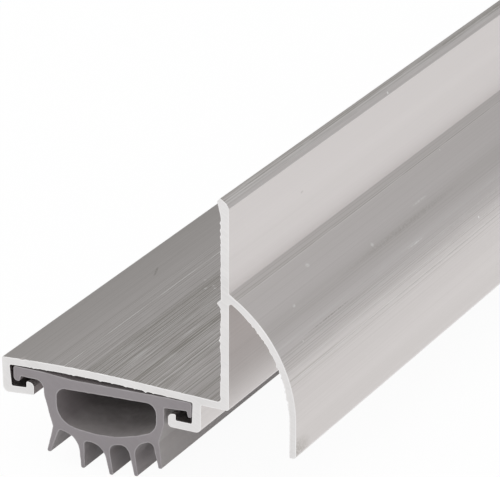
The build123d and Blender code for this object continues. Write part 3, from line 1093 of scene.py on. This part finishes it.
join(scuff, calculate(scuff, "MULTIPLY", inside, remap(scuff, broken, 0.35, 0.6, 0.3, 1.0)), out["Mask"])

# %% [markdown]
# ## Saw marks
#
# The ends were cut by a round blade, whose teeth leave shallow arcs about the blade's own centre.
# Noise is read by the distance from that centre and the angle round it, so that the grain bends
# with the arcs. A second, slower noise is the smear that a blunt tooth leaves. A rings texture is
# quicker to place, but its arcs are perfect circles with no start or end.

# %% Saw marks: arcs that a round blade leaves across a cut
blade_aside, blade_up = 60.0, 127.0
arc_grain, smear_grain = 6.0, 0.12

saw_marks, given, out = new_group(
    "Saw marks", {"Y": 0.0, "Z": 0.0, "Spacing": 0.3, "Blade": blade_up, "Seed": 0.0}, ["Marks", "Smear"]
)
blade_y = calculate(saw_marks, "ADD", given["Y"], blade_aside)
blade_z = calculate(saw_marks, "SUBTRACT", given["Z"], given["Blade"])
squares = [calculate(saw_marks, "POWER", side, 2.0) for side in (blade_y, blade_z)]
from_blade = calculate(saw_marks, "SQRT", calculate(saw_marks, "ADD", *squares))
ring = calculate(saw_marks, "DIVIDE", from_blade, given["Spacing"])
swing = calculate(saw_marks, "MULTIPLY", calculate(saw_marks, "ARCTAN2", blade_z, blade_y), arc_grain)
join(saw_marks, grain(saw_marks, ring, swing, given["Seed"], detail=2.0), out["Marks"])
smear_y = calculate(saw_marks, "MULTIPLY", given["Y"], smear_grain)
smear_z = calculate(saw_marks, "MULTIPLY", given["Z"], smear_grain)
join(saw_marks, grain(saw_marks, smear_y, smear_z, given["Seed"], detail=3.0), out["Smear"])

# %% [markdown]
# ## Edge wear
#
# Edges that are handled rub lighter and smoother, but not evenly. How sharp each place is comes in as a
# number from the mesh, and a patchy noise thins it here and there. On the cut ends the same group paints a
# lighter rim, which is a painted highlight. A bevel node could find the edges in the material itself, but a
# baked copy of the model would lose it.

# %% Edge wear: patches along the edges
patch_along, patch_around = 0.11, 0.4

edge_wear_and_rim_highlight, given, out = new_group(
    "Edge wear and rim highlight", {"Edge": 0.0, "Around": 0.0, "Along": 0.0, "Amount": 0.5}, ["Mask"]
)
patch = grain(
    edge_wear_and_rim_highlight,
    calculate(edge_wear_and_rim_highlight, "MULTIPLY", given["Along"], patch_along),
    calculate(edge_wear_and_rim_highlight, "MULTIPLY", given["Around"], patch_around),
    3.0,
)
uneven = remap(edge_wear_and_rim_highlight, patch, 0.3, 0.7, 0.35, 1.0)
worn = calculate(edge_wear_and_rim_highlight, "MULTIPLY", given["Edge"], uneven)
worn = calculate(edge_wear_and_rim_highlight, "MULTIPLY", worn, given["Amount"])
join(edge_wear_and_rim_highlight, calculate(edge_wear_and_rim_highlight, "MINIMUM", worn, 1.0, clamp=True), out["Mask"])

# %% [markdown]
# ## Four materials
#
# Each extrusion wears two materials: one on its long faces and one on its sawn ends. In each
# material the groups give what changes over the surface, and the shader holds what is the same
# all over. The patterns are placed by distances along and round the section, which the mesh
# carries, and not by a picture map, so that nothing stretches round the tight corners.

# %% Start a material
def start_material(name, metallic, specular):
    material = bpy.data.materials.new(name)
    material.use_nodes = True
    tree = material.node_tree
    shader = tree.nodes["Principled BSDF"]
    shader.inputs["Metallic"].default_value = metallic
    shader.inputs["Specular IOR Level"].default_value = specular
    return material, tree, shader


def attribute(tree, name):
    node = tree.nodes.new("ShaderNodeAttribute")
    node.attribute_name = name
    return node.outputs["Fac"]


def place_in_mm(tree):
    """The x, y and z of the surface in the part's own frame, in millimetres."""
    place = tree.nodes.new("ShaderNodeTexCoord")
    scale = tree.nodes.new("ShaderNodeVectorMath")
    scale.operation = "SCALE"
    scale.inputs["Scale"].default_value = 1 / MM
    tree.links.new(place.outputs["Object"], scale.inputs[0])
    parts = tree.nodes.new("ShaderNodeSeparateXYZ")
    tree.links.new(scale.outputs[0], parts.inputs[0])
    return parts.outputs


print("material helpers", [helper.__name__ for helper in (start_material, attribute, place_in_mm)])

# %% Place a group, mix two colours, raise a bump
def use(tree, group, **values):
    """The outputs of a group, with its inputs set by name."""
    node = tree.nodes.new("ShaderNodeGroup")
    node.node_tree = group
    for label, value in values.items():
        join(tree, value, node.inputs[label.replace("_", " ")])
    return node.outputs


def blend_colours(tree, share, first, second):
    node = tree.nodes.new("ShaderNodeMix")
    node.data_type = "RGBA"
    join(tree, share, node.inputs[0])
    for colour, socket in ((first, node.inputs[6]), (second, node.inputs[7])):
        join(tree, colour if isinstance(colour, bpy.types.NodeSocket) else (*colour, 1.0), socket)
    return node.outputs[2]


def add_bump(tree, shader, height_in_mm):
    bump = tree.nodes.new("ShaderNodeBump")
    bump.inputs["Strength"].default_value = 1.0
    bump.inputs["Distance"].default_value = MM
    join(tree, height_in_mm, bump.inputs["Height"])
    tree.links.new(bump.outputs[0], shader.inputs["Normal"])


print("and", [helper.__name__ for helper in (use, blend_colours, add_bump)])

# %% [markdown]
# ## Mill-finish aluminium
#
# The shoe's long faces are bare metal as it left the die, dull from its own fine lines. The material adds up
# how dark each place is: fine lines, grooves, broad bands, the painted shade of the dark shares, and a few
# scuffs. Then it lays what is brighter over that: dust and worn edges, and glints and the lips of the score
# lines, which are painted highlights.
# An anisotropic shader would stretch the reflections as fine lines do, but it doesn't draw the
# single lines, which are what the eye reads on this piece.

# %% Where the shoe is scuffed
from_plate_edge = distance_to(shoe_outline, plate_edge)
from_drip_root = distance_to(shoe_outline, drip_root)
from_lip_top = distance_to(shoe_outline, lip_top)

# Each is (distance round, millimetres from the near cut, half width, half length, slant, share)
dark_scuffs = [
    (from_lip_top + 0.8, 190.0, 0.6, 130.0, 0.0, 0.7),
    (from_lip_top + 9.2, 28.5, 0.25, 0.7, 0.0, 0.6),
    (from_plate_edge + 6.3, 47.0, 0.28, 2.6, -0.34, 0.5),
    (from_drip_root + 14.0, 20.0, 0.16, 11.0, 0.0, 0.6),
    (from_drip_root + 9.6, 55.0, 0.7, 28.0, 0.0, 0.25),
    # This one only darkens the drip cap next to the near cut
    (from_drip_root + 32.5, 0.0, 3.0, 6.0, 0.0, 0.5),
]
light_scuffs = [
    (from_plate_edge + 18.8, 43.4, 0.3, 0.7, 0.0, 0.9),
    (from_plate_edge + 19.5, 45.2, 0.25, 0.6, 0.0, 0.8),
    (from_plate_edge + 20.4, 44.2, 0.3, 0.5, 0.0, 0.9),
    (from_plate_edge + 16.8, 47.0, 0.3, 0.6, 0.0, 0.6),
    (from_drip_root + 13.4, 57.0, 0.2, 4.0, 0.0, 0.8),
    (from_drip_root + 4.4, 23.5, 0.5, 0.8, 0.0, 0.8),
    (from_drip_root + 8.6, 44.0, 0.5, 0.6, 0.0, 0.7),
    (from_drip_root + 8.6, 12.0, 0.4, 0.6, 0.0, 0.7),
    (from_drip_root + 7.6, 66.0, 0.25, 4.0, 0.0, 0.5),
]


def scuffed(tree, around, along, marks):
    """All the marks of a list, added up."""
    total = 0.0
    for at, from_cut, half_width, half_length, slant, share in marks:
        mark = use(
            tree,
            scuff,
            Around=around,
            Along=along,
            At_around=at,
            At_along=from_cut + cad_low.x / MM,
            Half_width=half_width,
            Half_length=half_length,
            Slant=slant,
        )
        total = calculate(tree, "MULTIPLY_ADD", mark["Mask"], share, total)
    return total


print(len(dark_scuffs), "dark scuffs and", len(light_scuffs), "light ones")

# %% Mill finish: the patterns that it uses
mill, tree, shader = start_material("mill_aluminium", metallic=1.0, specular=0.5)
x, y, z = place_in_mm(tree)
around, lined, painted_light_and_bands, edge, score = (
    attribute(tree, name) for name in ("around", "lined", "painted_light_and_bands", "edge", "score")
)
lines = use(tree, die_lines, Around=around, Along=x, Spacing=0.26, Run=110.0, Seed=1.0)
wide = use(tree, die_lines, Around=around, Along=x, Spacing=1.1, Run=300.0, Seed=4.0)
dust = use(tree, specks, Around=around, Along=x, Pitch=11.0, Size=0.45, Seed=2.0)
pits = use(tree, specks, Around=around, Along=x, Pitch=26.0, Size=0.4, Seed=12.0)
worn = use(tree, edge_wear_and_rim_highlight, Edge=edge, Around=around, Along=x, Amount=0.3)
wide_fine = calculate(tree, "MULTIPLY", wide["Fine"], 0.25)
fine = calculate(tree, "MULTIPLY_ADD", lines["Fine"], 0.75, wide_fine)
print("material", mill.name, "starts with", len(tree.nodes), "nodes")

# %% Mill finish: how dark each place is
mill_light, mill_dark = (0.735, 0.70, 0.694), (0.355, 0.332, 0.302)
lined_contrast, clean_contrast = 2.6, 0.05
band_contrast, band_shift, shade_and_band_darkness = 0.3, -0.05, 0.45

contrast = calculate(tree, "MULTIPLY_ADD", lined, lined_contrast, clean_contrast)
swing = calculate(tree, "MULTIPLY", calculate(tree, "SUBTRACT", fine, 0.5), contrast)
in_score = calculate(tree, "MULTIPLY", calculate(tree, "MAXIMUM", score, 0.0), lines["Uneven"])
grooves = calculate(tree, "MAXIMUM", calculate(tree, "MULTIPLY", lines["Grooves"], lined), in_score)
bands = calculate(tree, "MULTIPLY_ADD", wide["Bands"], band_contrast, band_shift)
tone = calculate(tree, "ADD", swing, bands)
# The dark shares add painted shade to the tone, and on the drip cap its two broad bands
tone = calculate(tree, "MULTIPLY_ADD", painted_light_and_bands, shade_and_band_darkness, tone)
tone = calculate(tree, "ADD", tone, scuffed(tree, around, x, dark_scuffs))
tone = calculate(tree, "ADD", tone, calculate(tree, "MAXIMUM", grooves, pits["Mask"]), clamp=True)
colour = blend_colours(tree, tone, mill_light, mill_dark)
print("material", mill.name, "has", len(tree.nodes), "nodes with its tone")

# %% Mill finish: what is brighter
mill_wear_and_highlight = (0.95, 0.94, 0.93)
glint_strength = 0.5

# Glints and the lips of the score lines are painted highlights; dust and worn edges are the metal's own
glints = calculate(tree, "MULTIPLY", calculate(tree, "MULTIPLY", lines["Glints"], lined), glint_strength)
score_lip_highlight = calculate(tree, "MAXIMUM", calculate(tree, "MULTIPLY", score, -1.0), 0.0)
score_lip_highlight = calculate(tree, "MULTIPLY", score_lip_highlight, lines["Uneven"])
bright = glints
for mask in (dust["Mask"], worn["Mask"], score_lip_highlight, scuffed(tree, around, x, light_scuffs)):
    bright = calculate(tree, "MAXIMUM", bright, mask)
join(tree, blend_colours(tree, bright, colour, mill_wear_and_highlight), shader.inputs["Base Color"])
print("material", mill.name, "has", len(tree.nodes), "nodes with its bright marks")

# %% Mill finish: gloss and relief
mill_rough, mill_rough_spread = 0.34, 0.12
die_line_height, groove_height, least_lined = 0.006, 1.2, 0.02

least_rough = mill_rough - mill_rough_spread / 2
rough = calculate(tree, "MULTIPLY_ADD", fine, mill_rough_spread, least_rough)
join(tree, rough, shader.inputs["Roughness"])
height = calculate(tree, "SUBTRACT", fine, calculate(tree, "MULTIPLY", lines["Grooves"], groove_height))
height = calculate(tree, "MULTIPLY", height, calculate(tree, "ADD", lined, least_lined))
add_bump(tree, shader, calculate(tree, "MULTIPLY", height, die_line_height))
print("material", mill.name, "is done, with", len(tree.nodes), "nodes")

# %% [markdown]
# ## Sawn aluminium
#
# The shoe's ends are the same metal, freshly cut. The blade leaves them nearly white, with faint arcs and
# duller smears, and a lighter rim round the cut's edge is a painted highlight.

# %% Sawn aluminium, for the shoe's cut ends
sawn_bright, sawn_dull, sawn_rim_highlight = (0.765, 0.752, 0.748), (0.645, 0.634, 0.63), (0.83, 0.82, 0.815)
arc_contrast, smear_contrast, smear_shift = 0.5, 1.2, -0.45
sawn_rough, sawn_rough_spread, sawn_height = 0.42, 0.2, 0.006

sawn, tree, shader = start_material("sawn_aluminium", metallic=1.0, specular=0.5)
x, y, z = place_in_mm(tree)
cut = use(tree, saw_marks, Y=y, Z=z, Spacing=0.35, Blade=blade_up, Seed=1.0)
smear = calculate(tree, "MULTIPLY_ADD", cut["Smear"], smear_contrast, smear_shift)
arcs = calculate(tree, "MULTIPLY", cut["Marks"], arc_contrast)
dull = calculate(tree, "ADD", arcs, smear, clamp=True)
colour = blend_colours(tree, dull, sawn_bright, sawn_dull)
# The lighter rim round the cut is a painted highlight
rim = use(tree, edge_wear_and_rim_highlight, Edge=attribute(tree, "rim"), Around=y, Along=z, Amount=0.9)
join(tree, blend_colours(tree, rim["Mask"], colour, sawn_rim_highlight), shader.inputs["Base Color"])
rough = calculate(tree, "MULTIPLY_ADD", cut["Marks"], sawn_rough_spread, sawn_rough)
join(tree, rough, shader.inputs["Roughness"])
add_bump(tree, shader, calculate(tree, "MULTIPLY", cut["Marks"], sawn_height))
print("material", sawn.name, "has", len(tree.nodes), "nodes")

# %% [markdown]
# ## Vinyl
#
# The insert is soft grey vinyl. Its long faces have the skin that the die gave them, slightly
# glossy and never quite flat, so a slow noise makes them sag by half a millimetre in the light.
# Its cut ends are a shade lighter, matt, and marked by the same saw. Dust sits on the skin as a paler
# colour, since a film that thin has no shape of its own. The same paler colour is painted light on the
# weather face and on the floor of the hollow.

# %% Vinyl skin, for the insert's long faces
vinyl_light, vinyl_dark = (0.262, 0.236, 0.24), (0.205, 0.184, 0.188)
vinyl_dust_wear_and_painted_light = (0.345, 0.325, 0.32)
skin_rough, skin_rough_spread = 0.42, 0.15
sag_across, sag_along, sag_height, skin_line_height = 0.2, 0.13, 0.6, 0.006

skin, tree, shader = start_material("vinyl_skin", metallic=0.0, specular=0.4)
x, y, z = place_in_mm(tree)
around, edge = attribute(tree, "around"), attribute(tree, "edge")
lines = use(tree, die_lines, Around=around, Along=x, Spacing=0.5, Run=180.0, Seed=9.0)
dust = use(tree, specks, Around=around, Along=x, Pitch=9.0, Size=0.22, Seed=6.0)
worn = use(tree, edge_wear_and_rim_highlight, Edge=edge, Around=around, Along=x, Amount=0.35)
halves = [calculate(tree, "MULTIPLY", lines[label], 0.5) for label in ("Fine", "Bands")]
colour = blend_colours(tree, calculate(tree, "ADD", *halves, clamp=True), vinyl_light, vinyl_dark)
dust_wear_and_painted_light = calculate(tree, "MAXIMUM", dust["Mask"], worn["Mask"])
# On the insert the shared attribute is painted light: it lightens the weather face and the hollow's floor
dust_wear_and_painted_light = calculate(tree, "MAXIMUM", attribute(tree, "painted_light_and_bands"), dust_wear_and_painted_light)
join(tree, blend_colours(tree, dust_wear_and_painted_light, colour, vinyl_dust_wear_and_painted_light), shader.inputs["Base Color"])
rough = calculate(tree, "MULTIPLY_ADD", lines["Fine"], skin_rough_spread, skin_rough)
join(tree, rough, shader.inputs["Roughness"])
sag_place = calculate(tree, "MULTIPLY", around, sag_across), calculate(tree, "MULTIPLY", x, sag_along)
line_height = calculate(tree, "MULTIPLY", lines["Fine"], skin_line_height)
height = calculate(tree, "MULTIPLY_ADD", grain(tree, *sag_place, 5.0), sag_height, line_height)
add_bump(tree, shader, height)
print("material", skin.name, "has", len(tree.nodes), "nodes")

# %% Cut vinyl, for the insert's ends
cut_light, cut_dark, cut_rim_highlight = (0.262, 0.242, 0.251), (0.21, 0.194, 0.202), (0.34, 0.325, 0.332)
cut_rough, cut_rough_spread, cut_height = 0.55, 0.15, 0.01

cut_vinyl, tree, shader = start_material("cut_vinyl", metallic=0.0, specular=0.25)
x, y, z = place_in_mm(tree)
cut = use(tree, saw_marks, Y=y, Z=z, Spacing=0.6, Blade=blade_up, Seed=7.0)
smear = calculate(tree, "MULTIPLY", cut["Smear"], 0.6)
tone = calculate(tree, "ADD", calculate(tree, "MULTIPLY", cut["Marks"], 0.4), smear, clamp=True)
# The lighter rim round the cut is a painted highlight
rim = use(tree, edge_wear_and_rim_highlight, Edge=attribute(tree, "rim"), Around=y, Along=z, Amount=1.0)
colour = blend_colours(tree, tone, cut_light, cut_dark)
join(tree, blend_colours(tree, rim["Mask"], colour, cut_rim_highlight), shader.inputs["Base Color"])
rough = calculate(tree, "MULTIPLY_ADD", cut["Marks"], cut_rough_spread, cut_rough)
join(tree, rough, shader.inputs["Roughness"])
add_bump(tree, shader, calculate(tree, "MULTIPLY", cut["Marks"], cut_height))
print("material", cut_vinyl.name, "has", len(tree.nodes), "nodes")

# %% Put the materials on
for piece, materials in ((shoe, (mill, sawn)), (insert, (skin, cut_vinyl))):
    for material in materials:
        piece.data.materials.append(material)
    print(piece.name, "wears", [material.name for material in piece.data.materials])

# %% [markdown]
# ## The floor
#
# The piece stands on its fins on a white floor. The floor shows plain white to the camera and in
# the metal's reflections, and a small share of its real lit colour is kept, so that the piece
# still has its soft shadow there. More light could whiten the floor too, but it would bleach the
# metal with it. Seen from below, the floor is clear.

# %% Lay the floor
floor_gap = 0.1
floor_half_width = 60.0
floor_shadow_share = 0.05
floor_colour = (0.95, 0.95, 0.95, 1.0)

floor_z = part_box("seal_insert")[0].z - floor_gap * MM
floor_mesh = bpy.data.meshes.new("floor")
signs = ((-1, -1), (1, -1), (1, 1), (-1, 1))
floor_corners = [(floor_half_width * x_sign, floor_half_width * y_sign, floor_z) for x_sign, y_sign in signs]
floor_mesh.from_pydata(floor_corners, [], [(0, 1, 2, 3)])
floor = bpy.data.objects.new("floor", floor_mesh)
bpy.context.scene.collection.objects.link(floor)
print("floor at", round(floor_z / MM, 2), "mm")

# %% Paint the floor
paper = bpy.data.materials.new("white_floor")
paper.use_nodes = True
tree = paper.node_tree
tree.nodes.remove(tree.nodes["Principled BSDF"])
matt = tree.nodes.new("ShaderNodeBsdfDiffuse")
matt.inputs["Color"].default_value = floor_colour
glow = tree.nodes.new("ShaderNodeEmission")
glow.inputs["Strength"].default_value = 1.0
ray = tree.nodes.new("ShaderNodeLightPath")
seen = calculate(tree, "MAXIMUM", ray.outputs["Is Camera Ray"], ray.outputs["Is Glossy Ray"])
seen = calculate(tree, "MAXIMUM", seen, ray.outputs["Is Transmission Ray"])
white_share = calculate(tree, "MULTIPLY", seen, 1 - floor_shadow_share)
clear = tree.nodes.new("ShaderNodeBsdfTransparent")
from_below = tree.nodes.new("ShaderNodeNewGeometry").outputs["Backfacing"]


def mix_shaders(share, first, second):
    node = tree.nodes.new("ShaderNodeMixShader")
    for source, socket in zip((share, first, second), node.inputs):
        tree.links.new(source, socket)
    return node.outputs[0]


above = mix_shaders(white_share, matt.outputs[0], glow.outputs[0])
both_sides = mix_shaders(from_below, above, clear.outputs[0])
tree.links.new(both_sides, tree.nodes["Material Output"].inputs["Surface"])
floor_mesh.materials.append(paper)
print("the floor keeps", floor_shadow_share, "of its shadow")

# %% [markdown]
# ## Light
#
# Bare metal shows little but what it mirrors, so the studio has to be lit in parts. Its walls are
# white behind the camera and dimmer ahead, along the length, which gives the plate, the flange
# and the drip cap their different greys, and a paler ceiling lifts the faces that look up. Two
# large soft lamps over the near end reach into the hollow and between the fins. One even white
# world is simpler, but under it every face of the shoe comes out the same.

# %% Paint the studio's walls
dim_side = Vector((0.98, 0.2, 0.0)).normalized()
dim_level, bright_level = 0.292, 1.0
dim_from, dim_to = 0.207, 1.0
ceiling_level, ceiling_from, ceiling_to = 0.27, 0.42, 0.8
air_level = 0.96
white = (1.0, 1.0, 1.0, 1.0)

world = bpy.data.worlds.new("studio")
bpy.context.scene.world = world
world.use_nodes = True
tree = world.node_tree
direction = tree.nodes.new("ShaderNodeTexCoord")
towards = tree.nodes.new("ShaderNodeVectorMath")
towards.operation = "DOT_PRODUCT"
tree.links.new(direction.outputs["Generated"], towards.inputs[0])
towards.inputs[1].default_value = dim_side
walls = remap(tree, towards.outputs["Value"], dim_from, dim_to, bright_level, dim_level)
split = tree.nodes.new("ShaderNodeSeparateXYZ")
tree.links.new(direction.outputs["Generated"], split.inputs[0])
ceiling = remap(tree, split.outputs[2], ceiling_from, ceiling_to, 0.0, ceiling_level, smooth=True)
walls = calculate(tree, "MINIMUM", calculate(tree, "ADD", walls, ceiling), bright_level)
print("the walls go from", bright_level, "to", dim_level)

# %% Show the walls to mirrors, even air to matt faces, and white to the camera
ray = tree.nodes.new("ShaderNodeLightPath")
mirrored = calculate(tree, "MAXIMUM", ray.outputs["Is Glossy Ray"], ray.outputs["Is Transmission Ray"])
matt_share = calculate(tree, "SUBTRACT", 1.0, mirrored)
level = calculate(tree, "MULTIPLY_ADD", mirrored, walls, calculate(tree, "MULTIPLY", matt_share, air_level))
level = calculate(tree, "MAXIMUM", level, ray.outputs["Is Camera Ray"])
join(tree, level, tree.nodes["Background"].inputs["Strength"])
tree.nodes["Background"].inputs["Color"].default_value = white
print("matt faces are lit at", air_level)

# %% Hang the two lamps
lit_place = Vector((-0.45, 0.0, 0.0))

# Each is (name, width, height, watts, place)
lamps = [
    ("softbox", 1.6, 1.2, 3.6, (-2.2, 0.55, 0.6)),
    ("fill", 2.2, 1.2, 4.6, (-2.1, -0.45, 0.6)),
]
for name, width, height, watts, lamp_place in lamps:
    lamp = bpy.data.objects.new(name, bpy.data.lights.new(name, "AREA"))
    bpy.context.scene.collection.objects.link(lamp)
    lamp.data.shape = "RECTANGLE"
    lamp.data.size, lamp.data.size_y = width, height
    lamp.data.energy = watts
    lamp.location = lamp_place
    lamp.rotation_mode = "QUATERNION"
    lamp.rotation_quaternion = (lamp.location - lit_place).to_track_quat("Z", "Y")
    print(name, "is", round((lamp.location - lit_place).length, 2), "m from the near end")

# %% [markdown]
# ## Plain colours and the size
#
# The view transform is Standard, so that a colour in a material comes out of the render about as it is
# written. The last step prints the size of the imported model's box.

# %% Finish
bpy.context.scene.view_settings.view_transform = "Standard"
print("packed size", [round(side / MM, 2) for side in cad_high - cad_low])
